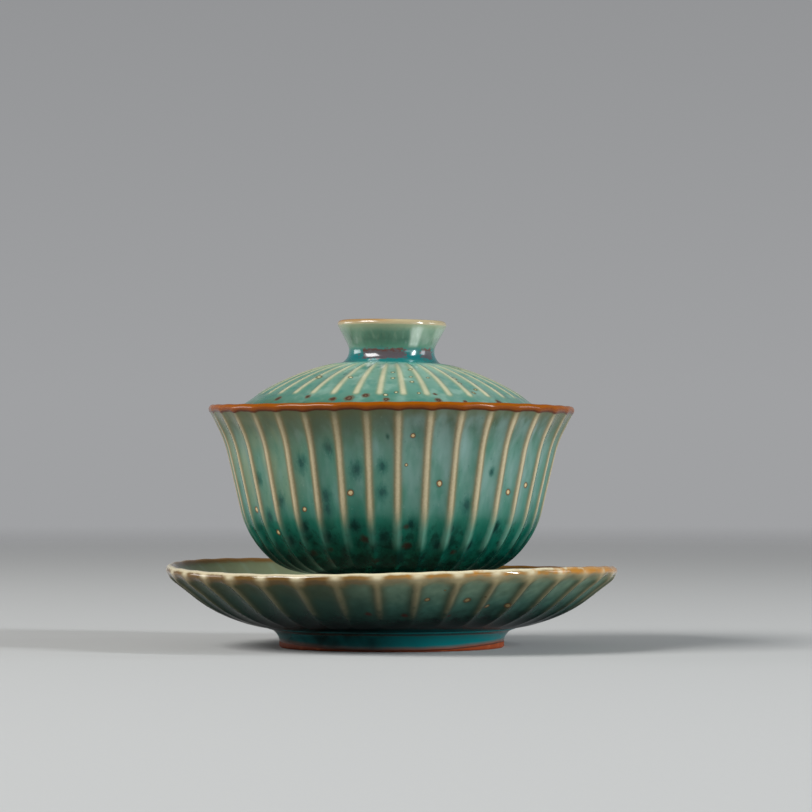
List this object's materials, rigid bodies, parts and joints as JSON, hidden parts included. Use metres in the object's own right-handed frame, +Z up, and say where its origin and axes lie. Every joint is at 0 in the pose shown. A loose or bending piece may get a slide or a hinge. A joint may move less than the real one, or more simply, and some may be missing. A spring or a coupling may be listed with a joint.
{
  "type": "gaiwan",
  "caption": "Lidded tea bowl with raised vertical ribs, standing in a ribbed footed saucer, under a domed lid with a hollow ring knob.",
  "frame": {"origin": "centre of the saucer's foot ring, on the table", "axes": "+Z up along the common axis of saucer, bowl and lid; -Y towards the viewer of the front view"},
  "size_m": [0.123, 0.123, 0.089],
  "materials": {
    "saucer_glaze": "gloss",
    "saucer_foot_clay": "satin",
    "bowl_glaze": "gloss",
    "bowl_foot_clay": "satin",
    "lid_glaze": "gloss",
    "knob_glaze": "gloss"
  },
  "bodies": {
    "saucer": {"saucer": "saucer_glaze", "saucer_foot": "saucer_foot_clay"},
    "bowl": {"bowl": "bowl_glaze", "bowl_foot": "bowl_foot_clay"},
    "lid": {"lid": "lid_glaze", "lid_knob": "knob_glaze"}
  },
  "joints": [
    {"name": "bowl_lift", "type": "slide", "parent": "saucer", "child": "bowl", "axis": [0, 0, 1], "range_m": [0, 0.08]},
    {"name": "lid_lift", "type": "slide", "parent": "bowl", "child": "lid", "axis": [0, 0, 1], "range_m": [0, 0.06]}
  ]
}
